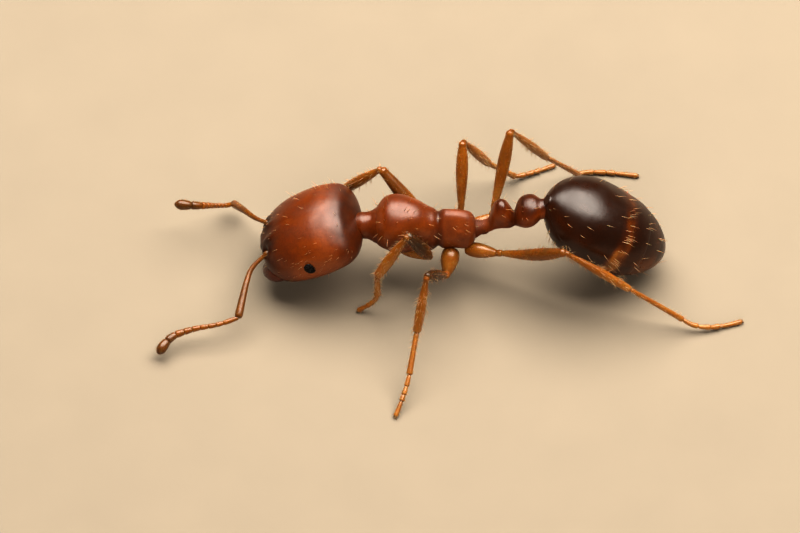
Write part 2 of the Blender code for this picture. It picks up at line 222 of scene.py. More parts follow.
# painted shade: the top of the head darker by height
CROWN_PAINTED_SHADE = (0.32, 0.46, 0.12)
MATT_CORNER = ((0.48, 0.56, 0.28), (0.17, 0.25, 0.25), 0.7)
SOCKET_RIM = (0.1, 0.025, 0.02)  # radius, width and height round the feeler's socket
EYE_GROOVE = (0.112, 0.018, 0.012)  # radius, width and depth round the eye
CUTICLE_UNEVENNESS = 0.005
WELD = 0.0004  # points nearer than this are joined
CREASE = math.radians(60)  # the least angle of a sharp edge
CLOUDS = (4200.0, 5.0)  # scale and detail
SPECKS = (38000.0, 3.0)
CLOUD_DRIFT = 0.14  # of the shade
MATT_ROUGHNESS = 0.35  # added where the cuticle is finely sculptured
CHITIN_IOR = 1.56
CHITIN_GLOSS = 0.46
CHITIN_TINT = (1.0, 1.0, 0.98, 1.0)
CHITIN_REDDENING = (1.0, 0.35, 0.1)  # how far each colour of light spreads in it
CHITIN_DEPTH = 0.12


def between(keys, steps):
    """Rings on a smooth curve through the key rings, with so many steps from key to key."""
    ends = [keys[0], *keys, keys[-1]]
    rings = []
    for before, start, stop, after in zip(ends, ends[1:], ends[2:], ends[3:]):
        for step in range(steps):
            t = step / steps
            weights = (
                (-t + 2 * t**2 - t**3) / 2,
                (2 - 5 * t**2 + 3 * t**3) / 2,
                (t + 4 * t**2 - 3 * t**3) / 2,
                (-(t**2) + t**3) / 2,
            )
            key = zip(before, start, stop, after)
            rings.append([sum(w * v for w, v in zip(weights, values)) for values in key])
    rings.append(list(keys[-1]))
    return rings


def shell_mesh():
    """An empty mesh whose points carry a shade, 0 pale to 1 dark, and how matt they are."""
    bm = bmesh.new()
    bm.verts.layers.float.new("shade")
    bm.verts.layers.float.new("matt")
    return bm


def skinned(bm, sides, stations):
    """A closed skin over a row of rings, each a function of the unit circle's x and y."""
    loops = []
    for station in stations:
        ring = bmesh.ops.create_circle(bm, segments=sides, radius=1.0)["verts"]
        for vert in ring:
            vert.co = station(vert.co.x, vert.co.y)
        loops.append(list({edge for vert in ring for edge in vert.link_edges}))
    for loop, following in zip(loops, loops[1:]):
        bmesh.ops.bridge_loops(bm, edges=loop + following)
    for loop in (loops[0], loops[-1]):
        bmesh.ops.contextual_create(bm, geom=loop)
    bmesh.ops.recalc_face_normals(bm, faces=bm.faces)


def rounded(ring, roundness):
    """The station of an upright rounded ring (y, centre height, half width, half height)."""
    y, height, half_width, half_height = ring

    def station(x, z):
        reach = (abs(x) ** roundness + abs(z) ** roundness) ** (-1 / roundness)
        return Vector((x * reach * half_width, y, height + z * reach * half_height))

    return station


def swelling(co, centre, reach):
    """1 at the centre, fading to 0 at about twice the reach, the same on both sides."""
    place = (abs(co.x), co.y, co.z)
    return math.exp(-sum(((c - middle) / size) ** 2 for c, middle, size in zip(place, centre, reach)))


def smooth(start, full, value):
    """0 before start and 1 past full, with an easy slope between. Either may be the greater."""
    t = min(max((value - start) / (full - start), 0.0), 1.0)
    return t * t * (3 - 2 * t)


def unevenness(co, scale):
    """A slight waviness of the skin."""
    return CUTICLE_UNEVENNESS * noise.noise(co * scale)


def graded(slope, value):
    """How much of a slope, (start, full, amount), a value has reached."""
    start, full, amount = slope
    return amount * smooth(start, full, value)


def settled(bm, name, finish, nodes):
    """Turns a mesh in millimetres into a piece in metres that stands for its CAD nodes."""
    bmesh.ops.remove_doubles(bm, verts=bm.verts, dist=WELD)
    bmesh.ops.recalc_face_normals(bm, faces=bm.faces)
    bmesh.ops.translate(bm, verts=bm.verts, vec=-SPREAD_MIDDLE)
    bmesh.ops.scale(bm, verts=bm.verts, vec=(MM, MM, MM))
    piece = placed(name, meshed(bm, name))
    piece.data.shade_smooth()
    piece.data.set_sharp_from_angle(angle=CREASE)
    piece.data.materials.append(finish)
    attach(piece, "root")
    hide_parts(*nodes)
    return piece


def ranged(tree, value, low, high, start=0.0, stop=1.0):
    """A value between start and stop, stretched to lie between low and high."""
    limits = ((1, start), (2, stop), (3, low), (4, high))
    return wired(tree, "ShaderNodeMapRange", {}, ("Value", value), *limits).outputs[0]


def cuticle(name, colours, roughness, glow, grain):
    """Glossy chitin: colours by shade, (shade, colour) each, clouded, with a fine grain.

    Glow is the share of light that spreads inside it, and grain the depth of its bumps."""
    made, shader, tree = finish_named(name)
    shade = wired(tree, "ShaderNodeAttribute", {"attribute_name": "shade"}).outputs["Fac"]
    matt = wired(tree, "ShaderNodeAttribute", {"attribute_name": "matt"}).outputs["Fac"]
    clouds = mottling(tree, *CLOUDS)
    specks = mottling(tree, *SPECKS)
    drift = ranged(tree, clouds, -CLOUD_DRIFT, CLOUD_DRIFT, 0.3, 0.7)
    depth = wired(tree, "ShaderNodeMath", {"operation": "ADD", "use_clamp": True}, (0, shade), (1, drift))
    colour = wired(tree, "ShaderNodeValToRGB", {}, ("Fac", depth.outputs[0]))
    stops = colour.color_ramp.elements
    while len(stops) < len(colours):
        stops.new(0.5)
    for stop, (position, tone) in zip(stops, colours):
        stop.position = position
        stop.color = (*tone, 1.0)
    flecks = ranged(tree, specks, 0.86, 1.1, 0.3, 0.7)
    spread = mixed(tree, 1.0, colour.outputs["Color"], flecks, "MULTIPLY")
    tree.links.new(spread, shader.inputs["Base Color"])
    gloss = ranged(tree, clouds, roughness * 0.8, roughness * 1.25, 0.3, 0.7)
    adding = {"operation": "MULTIPLY_ADD", "use_clamp": True}
    dulled = wired(tree, "ShaderNodeMath", adding, (0, matt), (1, MATT_ROUGHNESS), (2, gloss))
    tree.links.new(dulled.outputs[0], shader.inputs["Roughness"])
    fine = wired(tree, "ShaderNodeBump", {}, ("Strength", 0.25), ("Distance", grain * MM), ("Height", specks))
    broad = (("Strength", 0.5), ("Distance", grain * 4 * MM), ("Height", clouds))
    waves = wired(tree, "ShaderNodeBump", {}, *broad, ("Normal", fine.outputs[0]))
    tree.links.new(waves.outputs[0], shader.inputs["Normal"])
    shader.inputs["IOR"].default_value = CHITIN_IOR
    shader.inputs["Specular IOR Level"].default_value = CHITIN_GLOSS
    shader.inputs["Specular Tint"].default_value = CHITIN_TINT
    shader.inputs["Subsurface Weight"].default_value = glow
    shader.inputs["Subsurface Radius"].default_value = CHITIN_REDDENING
    shader.inputs["Subsurface Scale"].default_value = CHITIN_DEPTH * MM
    return made


BODY_COLOURS = (
    (0.0, (0.2, 0.049, 0.0038)),
    (0.3, (0.12, 0.026, 0.0021)),
    (1.0, (0.029, 0.0064, 0.0011)),
)
body_cuticle = cuticle("body_cuticle", BODY_COLOURS, 0.34, 0.12, 0.003)
HEAD_FRAME = Matrix.Translation(HEAD_PLACE) @ Matrix.Rotation(HEAD_PITCH, 4, "X")


def mirrored(vector, side):
    return Vector((vector[0] * side, vector[1], vector[2]))


def ring_round(co, centre, ring):
    """A ring of some radius, width and height round a centre, on both sides alike."""
    radius, width, height = ring
    away = (mirrored(centre, math.copysign(1, co.x)) - co).length
    return height * math.exp(-(((away - radius) / width) ** 2))


def head_shade(co):
    """Darker towards the mouth and round the sockets, with painted shade on the crown, the upper sides and
    partly the back edge, and a painted glow on the cheeks.
    """
    slopes = graded(MOUTH, co.y) + graded(NAPE_TONE_AND_SHADE, co.y) + graded(CROWN_PAINTED_SHADE, co.z)
    parts = sum(amount * swelling(co, centre, reach) for centre, reach, amount in HEAD_TONES)
    return min(max(HEAD_SHADE + slopes + parts, 0.0), 1.0)


def make_head():
    bm = shell_mesh()
    shade, matt = bm.verts.layers.float["shade"], bm.verts.layers.float["matt"]
    rings = between(HEAD_RINGS, 7)
    skinned(bm, HEAD_SIDES, [rounded(ring, BODY_ROUNDNESS) for ring in rings])
    bm.normal_update()
    centre, reach, mattness = MATT_CORNER
    for vert in bm.verts:
        co = vert.co.copy()
        rise = sum(height * swelling(co, place, size) for place, size, height in HEAD_RELIEF)
        if co.z > 0:
            rise += ring_round(co, SOCKET, SOCKET_RIM)
        rise -= ring_round(co, EYE_CENTRE, EYE_GROOVE)
        rise += unevenness(co, 2.6)
        vert[shade] = head_shade(co)
        vert[matt] = mattness * swelling(co, centre, reach)
        vert.co = co + vert.normal * rise
    bmesh.ops.transform(bm, matrix=HEAD_FRAME, verts=bm.verts)
    return settled(bm, "head_capsule", body_cuticle, ["head"])


head = make_head()

# --- Eyes ---------------------------------------------------------------------------
# Each is a low oval dome of ninety-six black facets, each facet a tiny lens of its own,
# set flush in the side of the head.

EYE_SEMI_AXES = Vector((0.058, 0.088, 0.098))
EYE_DEPTH = 0.028  # of the dome's middle under the side of the head
DOME_SHARE = 0.985  # the black dome that the facets stand on
FACETS = 96
FACET_RADIUS = 0.0095
FACET_SPREAD = 0.9  # how far down the dome's side they go
SIDES = {"right": -1, "left": 1}


def eye_finish():
    made, shader, tree = finish_named("eye_lenses")
    sheen = mottling(tree, 30000.0, 2.0)
    black = mixed(tree, sheen, (0.004, 0.0025, 0.002, 1.0), (0.012, 0.008, 0.005, 1.0))
    tree.links.new(black, shader.inputs["Base Color"])
    tree.links.new(ranged(tree, sheen, 0.18, 0.34), shader.inputs["Roughness"])
    shader.inputs["Specular IOR Level"].default_value = 0.3
    return made


eye_lenses = eye_finish()


def make_eye(name, side):
    bm = shell_mesh()
    centre = mirrored(EYE_CENTRE, side) - Vector((side * EYE_DEPTH, 0, 0))
    dome = Matrix.Translation(centre) @ Matrix.Diagonal((*EYE_SEMI_AXES, 1))
    bmesh.ops.create_icosphere(bm, subdivisions=3, radius=DOME_SHARE, matrix=dome)
    turn = math.pi * (3 - math.sqrt(5))
    for index in range(FACETS):
        outward = 1 - FACET_SPREAD * (index + 0.5) / FACETS
        rim = math.sqrt(1 - outward**2)
        unit = Vector((outward * side, rim * math.cos(turn * index), rim * math.sin(turn * index)))
        facet = dome @ unit
        bmesh.ops.create_icosphere(bm, subdivisions=1, radius=FACET_RADIUS, matrix=Matrix.Translation(facet))
    bmesh.ops.transform(bm, matrix=HEAD_FRAME, verts=bm.verts)
    return settled(bm, f"facetted_eye_{name}", eye_lenses, [f"eye_{name}"])


for name, side in SIDES.items():
    make_eye(name, side)

# --- Mandibles ----------------------------------------------------------------------
# A pair of curved blades of hard dark cuticle, hinged at the corners of the mouth and
# folded shut under the clypeus, with four blunt teeth along the inner edge.

MANDIBLE_PATH = (
    (0.41, -0.4, -0.02), (0.4, -0.53, 0.0), (0.355, -0.65, -0.01), (0.24, -0.76, -0.04),
    (0.03, -0.83, -0.09),
)
# Girths are (share of the length, radius) along a rod.
MANDIBLE_GIRTHS = ((0.0, 0.15), (0.2, 0.19), (0.45, 0.175), (0.7, 0.12), (0.9, 0.065), (1.0, 0.02))
MANDIBLE_FLATNESS = 0.85
TEETH = ((0.5, 0.055), (0.64, 0.06), (0.78, 0.065), (0.9, 0.06))  # (share of the blade, length)
TOOTH_GIRTHS = ((0.0, 0.035), (0.5, 0.028), (0.85, 0.012), (1.0, 0.004))
TOOTH_HEADING = Vector((0, 1, -0.25)).normalized()
UP = Vector((0, 0, 1))


def measured(points):
    """Each point of a path with its share of the path's length."""
    spans = [(b - a).length for a, b in zip(points, points[1:])]
    total = sum(spans)
    shares = [0.0]
    for span in spans:
        shares.append(shares[-1] + span / total)
    return list(zip(shares, points))


def at_share(track, share):
    """The point and the heading at a share of a measured path."""
    for (low, start), (high, stop) in zip(track, track[1:]):
        if share <= high:
            break
    t = (share - low) / (high - low)
    return start.lerp(stop, t), (stop - start).normalized()


def smooth_track(points):
    return measured([Vector(point) for point in between([tuple(p) for p in points], 8)])


def limb(bm, path, girths, sides, flatness=1.0, shades=(0.0, 0.0), dusk=0.0, steps=5):
    """A rod along a smooth path. Its shades are spaced evenly, and dusk darkens its upper side."""
    track = smooth_track(path)
    stations = []
    marks = []
    across = None
    for share, radius in between(girths, steps):
        share = min(max(share, 0.0), 1.0)
        point, ahead = at_share(track, share)
        if across is None:
            across = ahead.cross(UP).normalized()
        across = (across - ahead * across.dot(ahead)).normalized()
        rise = ahead.cross(across)

        def station(x, y, point=point, across=across, rise=rise, radius=radius):
            return point + across * (x * radius) + rise * (y * radius * flatness)

        stations.append(station)
        marks.append((point, share, radius))
    old = set(bm.verts)
    skinned(bm, sides, stations)
    layer = bm.verts.layers.float["shade"]
    for vert in bm.verts:
        if vert in old:
            continue
        point, share, radius = min(marks, key=lambda mark: (mark[0] - vert.co).length_squared)
        span = min(int(share * (len(shades) - 1)), len(shades) - 2)
        blend = share * (len(shades) - 1) - span
        tone = shades[span] * (1 - blend) + shades[span + 1] * blend
        vert[layer] = min(max(tone + dusk * (vert.co.z - point.z) / radius, 0.0), 1.0)
    return track


MANDIBLE_COLOURS = (
    (0.0, (0.12, 0.02, 0.0021)),
    (0.5, (0.064, 0.01, 0.0013)),
    (1.0, (0.018, 0.0047, 0.0013)),
)
mandible_cuticle = cuticle("mandible_cuticle", MANDIBLE_COLOURS, 0.26, 0.05, 0.003)


def make_mandible(name, side):
    bm = shell_mesh()
    path = [mirrored(point, side) for point in MANDIBLE_PATH]
    track = limb(bm, path, MANDIBLE_GIRTHS, 24, MANDIBLE_FLATNESS, shades=(0.4, 0.8))
    for share, length in TEETH:
        root, ahead = at_share(track, share)
        middle = root + TOOTH_HEADING * length * 0.9
        point = root + TOOTH_HEADING * length * 1.7 + ahead * 0.01
        limb(bm, (root, middle, point), TOOTH_GIRTHS, 10, shades=(0.9, 1.0), steps=3)
    bmesh.ops.transform(bm, matrix=HEAD_FRAME, verts=bm.verts)
    return settled(bm, f"mandible_blade_{name}", mandible_cuticle, [f"mandible_{name}"])


for name, side in SIDES.items():
    make_mandible(name, side)

# --- Feelers ------------------------------------------------------------------------
# Ten joints each: a long scape that turns in a ball socket, a pedicel and six short beads,
# and a club of two long joints. Their hair is a coat of its own, further down.

# Each part's path goes on from the end of the one before, the scape's from its socket.
FEELERS = {
    "left": {
        "scape": ((0.5, -2.545, 0.62), (0.72, -2.64, 0.53), (1.24, -2.76, 0.34)),
        "funiculus": ((1.34, -3.05, 0.31), (1.39, -3.4, 0.27), (1.475, -3.68, 0.24)),
        "club": ((1.575, -3.8, 0.22), (1.77, -3.94, 0.16)),
    },
    "right": {
        "scape": ((-0.39, -2.52, 0.66), (-0.68, -2.7, 0.49), (-1.03, -2.86, 0.2)),
        "funiculus": ((-0.93, -2.98, 0.28), (-0.71, -3.2, 0.555), (-0.61, -3.32, 0.68)),
        "club": ((-0.57, -3.5, 0.74), (-0.55, -3.72, 0.79)),
    },
}
SCAPE_GIRTHS = (
    (0.0, 0.045), (0.05, 0.048), (0.1, 0.03), (0.3, 0.036), (0.7, 0.052), (0.92, 0.06),
    (0.98, 0.054), (1.0, 0.03),
)
# A bead's girths, and the club's last one's, are shares of its radius.
BEAD_GIRTHS = ((0.0, 0.6), (0.1, 0.84), (0.6, 1.0), (0.9, 0.98), (1.0, 0.75))
CLUB_END = ((0.0, 0.62), (0.1, 0.82), (0.45, 1.0), (0.75, 0.9), (0.93, 0.5), (1.0, 0.18))
# Beads from root to tip: (their share of the length, radius).
FUNICULUS_BEADS = (
    (0.24, 0.036), (0.12, 0.034), (0.12, 0.036), (0.125, 0.038), (0.13, 0.042), (0.13, 0.047),
    (0.135, 0.053),
)
CLUB_BEADS = ((0.4, 0.06), (0.6, 0.077))

LIMB_COLOURS = ((0.0, (0.3, 0.14, 0.029)), (0.35, (0.2, 0.07, 0.0058)), (1.0, (0.041, 0.018, 0.0058)))
limb_cuticle = cuticle("limb_cuticle", LIMB_COLOURS, 0.28, 0.25, 0.0025)


def stretch(track, low, high, count=5):
    """Points along part of a measured path."""
    return [at_share(track, low + (high - low) * step / (count - 1))[0] for step in range(count)]


def strung(bm, points, beads, last_girths, shades):
    """Joints one after another along a path, each (share of its length, radius)."""
    track = smooth_track(points)
    start = 0.0
    for index, (share, radius) in enumerate(beads):
        stop = min(start + share, 1.0)
        girths = last_girths if index == len(beads) - 1 else BEAD_GIRTHS
        sized = [(along, girth * radius) for along, girth in girths]
        limb(bm, stretch(track, start, stop), sized, 14, shades=shades, steps=4)
        start = stop


def limb_part(bm, name, node, start, stop):
    """A piece of a feeler or leg, with its two ends for the hairs."""
    return settled(bm, name, limb_cuticle, [node]), start, stop


def make_feeler(name, side):
    end = HEAD_FRAME @ mirrored(SOCKET, side)
    parts = []
    for part, points in FEELERS[name].items():
        path = [end, *(Vector(point) for point in points)]
        end = path[-1]
        bm = shell_mesh()
        if part == "scape":
            limb(bm, path, SCAPE_GIRTHS, 20, shades=(0.65, 0.6))
        elif part == "funiculus":
            strung(bm, path, FUNICULUS_BEADS, BEAD_GIRTHS, (0.5, 0.4))
        else:
            strung(bm, path, CLUB_BEADS, CLUB_END, (0.7, 0.8))
        parts.append(limb_part(bm, f"feeler_{part}_{name}", f"antenna_{part}_{name}", path[0], end))
    return parts


feeler_parts = {name: make_feeler(name, side) for name, side in SIDES.items()}

# --- Neck and trunk -----------------------------------------------------------------
# A short collar carries the head. Behind it the promesonotum arches up, and past a deep
# groove the lower propodeum falls away to the waist. Seams part the side plates.

NECK_RINGS = (
    (-1.1, 0.99, 0.13, 0.13), (-1.02, 0.99, 0.165, 0.165), (-0.95, 0.985, 0.195, 0.195),
    (-0.9, 0.98, 0.2, 0.2), (-0.85, 0.98, 0.203, 0.203), (-0.79, 0.975, 0.225, 0.225),
    (-0.73, 0.975, 0.26, 0.26), (-0.68, 0.98, 0.28, 0.28),
)
NECK_SIDES = 48
NECK_SHADE = 0.45
TRUNK_RINGS = (
    (-0.765, 0.97, 0.05, 0.05), (-0.76, 0.97, 0.16, 0.16), (-0.7, 0.99, 0.28, 0.28),
    (-0.58, 1.04, 0.39, 0.37), (-0.38, 1.03, 0.43, 0.42), (-0.12, 0.98, 0.345, 0.42),
    (0.1, 0.905, 0.28, 0.355), (0.32, 0.92, 0.257, 0.316), (0.52, 0.92, 0.256, 0.298),
    (0.67, 0.91, 0.226, 0.256), (0.75, 0.89, 0.14, 0.15), (0.765, 0.885, 0.05, 0.05),
)
TRUNK_SIDES = 112
GROOVE_Y = 0.2
GROOVE_WIDTH = 0.045
GROOVE_DEPTH = 0.15
# Seams of the left side: (width, depth, points).
TRUNK_SEAMS = (
    (0.02, 0.018, (
        (0.2, -0.68, 0.74), (0.37, -0.42, 0.74), (0.37, -0.12, 0.83), (0.3, 0.06, 1.02), (0.2, 0.17, 1.2),
    )),
    (0.02, 0.02, ((0.25, 0.2, 1.15), (0.29, 0.24, 0.88), (0.27, 0.2, 0.6))),
    (0.014, 0.01, ((0.3, -0.08, 0.8), (0.3, 0.05, 0.78), (0.29, 0.22, 0.84))),
    (0.016, 0.012, ((0.27, 0.3, 0.72), (0.27, 0.5, 0.74), (0.24, 0.68, 0.78))),
)
SPIRACLE = Vector((0.235, 0.53, 1.07))
SPIRACLE_RIM = (0.035, 0.014, 0.014)  # radius, width and height
SPIRACLE_HOLE = (0.0, 0.018, 0.02)
HIP_BULGE = ((0.25, 0.62, 0.74), (0.12, 0.1, 0.09), 0.03)  # over the hind hip: centre, reach, height
# The propodeum's own shape and sheen: where each starts and is full.
PROPODEUM_FRONT = (GROOVE_Y, GROOVE_Y + 0.12)
SQUARE_REAR = (0.76, 0.66)
RIDGE_REAR = (0.77, 0.68)
RIDGE_HEIGHTS = (0.92, 1.22)
MATT_FRONT = (GROOVE_Y, GROOVE_Y + 0.1)
MATT_HEIGHTS = (0.95, 1.1)
SQUARENESS = 0.45  # by which its rings are squarer than the rest
NARROWING = 0.4  # of its rings towards their top
RIDGE = 0.2  # by which their upper half is taller
PROPODEUM_MATTNESS = 0.5
TRUNK_SHADE = 0.12
BELLY = (0.9, 0.62, 0.2)  # start, full and amount of its darkness, by height
# painted shade: the upper side darker, by how far the skin faces up
TOP_PAINTED_SHADE = (0.5, 0.95, 0.22)  # the same, by how far the skin faces up
GROOVE_TONE = (0.06, 0.4)  # reach and amount
SEAM_TONE = 16  # times their depth


def to_stretch(point, start, stop):
    """How far a point is from a straight stretch."""
    line = stop - start
    t = min(max((point - start).dot(line) / line.length_squared, 0.0), 1.0)
    return (point - start - line * t).length


def seam_depth(co, seams):
    """How deep the seams cut at a point, the same on both sides."""
    point = Vector((abs(co.x), co.y, co.z))
    total = 0.0
    for width, depth, points in seams:
        corners = [Vector(p) for p in points]
        near = min(to_stretch(point, a, b) for a, b in zip(corners, corners[1:]))
        total += depth * math.exp(-((near / width) ** 2))
    return total


def make_trunk():
    bm = shell_mesh()
    shade, matt = bm.verts.layers.float["shade"], bm.verts.layers.float["matt"]
    rings = between(TRUNK_RINGS, 8)
    for ring in rings:
        pinch = GROOVE_DEPTH * math.exp(-(((ring[0] - GROOVE_Y) / GROOVE_WIDTH) ** 2))
        ring[2] *= 1 - pinch
        ring[3] *= 1 - pinch
    stations = []
    for ring in rings:
        square = smooth(*PROPODEUM_FRONT, ring[0]) * smooth(*SQUARE_REAR, ring[0])
        stations.append(rounded(ring, BODY_ROUNDNESS + SQUARENESS * square))
    skinned(bm, TRUNK_SIDES, stations)
    for vert in bm.verts:
        ridge = smooth(*PROPODEUM_FRONT, vert.co.y) * smooth(*RIDGE_REAR, vert.co.y)
        vert.co.x *= 1 - NARROWING * smooth(*RIDGE_HEIGHTS, vert.co.z) * ridge
        vert.co.z += max(vert.co.z - RIDGE_HEIGHTS[0], 0.0) * RIDGE * ridge
    bm.normal_update()
    centre, reach, height = HIP_BULGE
    for vert in bm.verts:
        co = vert.co.copy()
        cut = seam_depth(co, TRUNK_SEAMS)
        rise = unevenness(co, 3.1) - cut
        rise += ring_round(co, SPIRACLE, SPIRACLE_RIM) - ring_round(co, SPIRACLE, SPIRACLE_HOLE)
        rise += height * swelling(co, centre, reach)
        groove = GROOVE_TONE[1] * math.exp(-(((co.y - GROOVE_Y) / GROOVE_TONE[0]) ** 2))
        # the upper side's darkening is painted shade
        tone = TRUNK_SHADE + graded(BELLY, co.z) + graded(TOP_PAINTED_SHADE, vert.normal.z) + groove
        vert[shade] = min(tone + SEAM_TONE * cut, 1.0)
        vert[matt] = PROPODEUM_MATTNESS * smooth(*MATT_FRONT, co.y) * smooth(*MATT_HEIGHTS, co.z)
        vert.co = co + vert.normal * rise
    return settled(bm, "trunk_plates", body_cuticle, ["thorax_front", "thorax_rear"])


def make_neck():
    bm = shell_mesh()
    skinned(bm, NECK_SIDES, [rounded(ring, ELLIPSE) for ring in between(NECK_RINGS, 5)])
    for vert in bm.verts:
        vert[bm.verts.layers.float["shade"]] = NECK_SHADE
    settled(bm, "neck_collar", body_cuticle, ["neck"])


trunk = make_trunk()
make_neck()

# --- Waist --------------------------------------------------------------------------
# Two small joints. The petiole has a stalk and an upright wedge-shaped node with a spine
# under its front, and the postpetiole is a round bead, broader than long.

PETIOLE_RINGS = (
    (0.7, 0.87, 0.13, 0.13), (0.754, 0.897, 0.134, 0.134), (0.828, 0.93, 0.11, 0.11),
    (0.903, 0.97, 0.092, 0.092), (0.955, 1.015, 0.107, 0.125), (0.99, 1.12, 0.14, 0.2),
    (1.03, 1.205, 0.165, 0.245), (1.08, 1.245, 0.176, 0.26), (1.14, 1.26, 0.18, 0.262),
    (1.2, 1.245, 0.174, 0.245), (1.25, 1.2, 0.158, 0.2), (1.285, 1.16, 0.135, 0.15),
    (1.32, 1.145, 0.112, 0.115), (1.36, 1.15, 0.1, 0.1), (1.4, 1.17, 0.09, 0.09),
)
POSTPETIOLE_RINGS = (
    (1.29, 1.14, 0.08, 0.08), (1.335, 1.17, 0.12, 0.12), (1.37, 1.25, 0.185, 0.165),
    (1.43, 1.3, 0.235, 0.205), (1.505, 1.32, 0.26, 0.222), (1.575, 1.335, 0.253, 0.218),
    (1.63, 1.345, 0.225, 0.2), (1.675, 1.355, 0.185, 0.17), (1.71, 1.365, 0.157, 0.148),
    (1.76, 1.375, 0.152, 0.145), (1.83, 1.38, 0.165, 0.155), (1.95, 1.37, 0.18, 0.17),
)
WAIST_SIDES = 64
WAIST_ROUNDNESS = 2.1
WAIST_SHADE = 0.15
WAIST_ENDS = (0.12, 0.3, 0.4)  # start, full and amount of their darkness, from the joint's middle
# painted shade on the top of each waist joint
WAIST_TOP_PAINTED_SHADE = (0.35, 0.9, 0.7)  # the same, by how far the skin faces up
WAIST_TOP_HEIGHTS = (1.25, 1.4)
WAIST_MATT_HEIGHTS = (1.25, 1.1)
SPINE_PATH = ((0, 0.92, 0.85), (0, 0.88, 0.8), (0, 0.84, 0.77))
SPINE_GIRTHS = ((0.0, 0.04), (0.5, 0.03), (1.0, 0.006))


def waist_joint(keys):
    """A joint of the waist, darker at its ends, with painted shade on top, and matt low down."""
    bm = shell_mesh()
    shade, matt = bm.verts.layers.float["shade"], bm.verts.layers.float["matt"]
    skinned(bm, WAIST_SIDES, [rounded(ring, WAIST_ROUNDNESS) for ring in between(keys, 7)])
    bm.normal_update()
    middle = (keys[0][0] + keys[-1][0]) / 2
    for vert in bm.verts:
        co = vert.co.copy()
        # the darker top is painted shade
        upper = graded(WAIST_TOP_PAINTED_SHADE, vert.normal.z) * smooth(*WAIST_TOP_HEIGHTS, co.z)
        vert[shade] = min(WAIST_SHADE + graded(WAIST_ENDS, abs(co.y - middle)) + upper, 1.0)
        vert[matt] = smooth(*WAIST_MATT_HEIGHTS, co.z)
        vert.co = co + vert.normal * unevenness(co, 5)
    return bm


bm = waist_joint(PETIOLE_RINGS)
limb(bm, SPINE_PATH, SPINE_GIRTHS, 10, shades=(0.4, 0.6), steps=3)
petiole = settled(bm, "petiole_node", body_cuticle, ["petiole"])
bm = waist_joint(POSTPETIOLE_RINGS)
postpetiole = settled(bm, "postpetiole_bead", body_cuticle, ["postpetiole"])

# --- Gaster -------------------------------------------------------------------------
# Four telescoping plates of very dark brown, glossy cuticle, paler underneath. Each slides
# a little under the one before. The first ends in a broad amber band, the others in faint ones.

GASTER_PLACE = Vector((0.0, 2.528, 1.027))
GASTER_PITCH = math.radians(-37.2)
# Before and behind its widest ring: its length, and the two powers of its outline's curve.
GASTER_LENGTH = (0.918, 1.233)
GASTER_CURVES = ((2.378, 1.457), (2.422, 1.672))
GASTER_WIDEST = (0.706, 0.566)  # half its width and half its height there
GASTER_RISE = 0.032  # how far its rear end curves up
GASTER_LEAST = (0.12, 0.03)  # girth of its blunt front end and of its tip
PLATE_MARGINS = (0.33, 0.66, 0.96, 1.233)
PLATE_OVERLAP = 0.07
PLATE_STEP = 0.018  # by this share a plate's front is slimmer than the rear edge over it
PLATE_FIT = 0.995  # a plate's girth as a share of the outline's
CLOSED_GIRTH = 0.02
LIP_THICKNESS = 0.014
LIP = ((0.004, 0.4), (0.002, 1.4), (-0.03, 2.4))  # (behind the rear edge, thicknesses inwards)
SIDE_SEAM = (-0.28, 0.03, 0.01)  # between upper and lower plates: height as a share, width, depth
PLATE_SIDES = 128
FIRST_PLATE_RINGS = 44
PLATE_RINGS = 18
# Amber by the distance behind a plate's rear edge, and behind the front edge of the second:
# (start, full, amount).
REAR_AMBER = ((-0.25, -0.11, 0.72), (-0.1, 0.0, 0.15), (-0.25, -0.11, 0.25), (-0.25, -0.11, 0.25))
SECOND_FRONT_AMBER = (0.19, 0.07, 0.625)
# Its patches: their mean, swing and scale. Its strength at the top, and what it gains lower
# down, by height as a share of the half height. The same for how pale the later plates' flanks
# and all undersides are.
AMBER_PATCHES = (0.8, 0.5, 7)
HIGH_AMBER = 0.74
LOW_AMBER = (1.0, 0.4, 0.4)
LOW_PALENESS = (1.0, 0.4, 0.13)
UNDER_PALENESS = (0.7, 0.2, 0.25)

GASTER_COLOURS = (
    (0.0, (0.31, 0.12, 0.016)),
    (0.35, (0.11, 0.029, 0.0021)),
    (0.65, (0.041, 0.01, 0.0015)),
    (1.0, (0.022, 0.0064, 0.0015)),
)
gaster_cuticle = cuticle("gaster_cuticle", GASTER_COLOURS, 0.31, 0.04, 0.003)
GASTER_FRAME = Matrix.Translation(GASTER_PLACE) @ Matrix.Rotation(GASTER_PITCH, 4, "X")


def egg_girth(y):
    """The gaster's girth at a distance behind its widest ring, as a share of the widest."""
    share = min(abs(y) / GASTER_LENGTH[y > 0], 1.0)
    fall, fill = GASTER_CURVES[y > 0]
    return max((1 - share**fall) ** (1 / fill), GASTER_LEAST[y > 0])


